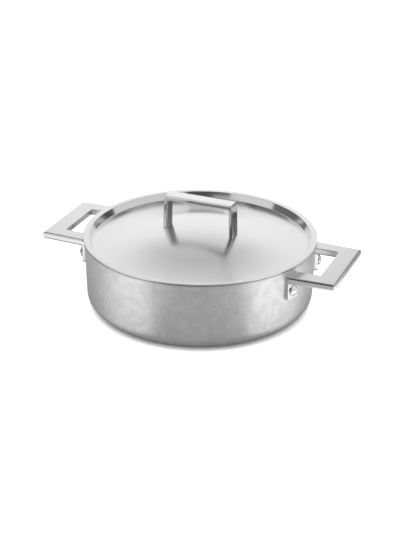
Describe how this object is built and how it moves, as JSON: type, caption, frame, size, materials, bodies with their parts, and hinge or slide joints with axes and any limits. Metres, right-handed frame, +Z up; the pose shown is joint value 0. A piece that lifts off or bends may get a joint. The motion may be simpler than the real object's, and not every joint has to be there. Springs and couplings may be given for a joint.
{
  "type": "braiser",
  "caption": "Low round clad stainless braiser with a recessed domed lid, a bridge handle on the lid, and open rectangular side handles riveted to the wall.",
  "frame": {"origin": "middle of the flat base, on the hob", "axes": "+Z up out of the pot's mouth, +X towards the right side handle, -Y towards the front"},
  "size_m": [0.3276, 0.2474, 0.1168],
  "materials": {
    "skin_steel": "stone-washed satin",
    "core_aluminium": "ground edge",
    "liner_steel": "circular brushed",
    "lid_steel": "fine brushed, semi-gloss",
    "bridge_steel": "mirror polished",
    "handle_steel": "polished, with satin top",
    "rivet_steel": "polished"
  },
  "bodies": {
    "pot": {"pot_outer_skin": "skin_steel", "pot_heat_core": "core_aluminium", "pot_inner_liner": "liner_steel", "left_handle": "handle_steel", "right_handle": "handle_steel", "rivet_left_front": "rivet_steel", "rivet_left_rear": "rivet_steel", "rivet_right_front": "rivet_steel", "rivet_right_rear": "rivet_steel"},
    "lid": {"lid_shell": "lid_steel", "lid_handle": "bridge_steel"}
  },
  "joints": [
    {"name": "lid_lift", "type": "slide", "parent": "pot", "child": "lid", "axis": [0, 0, 1], "range_m": [0, 0.12]}
  ]
}
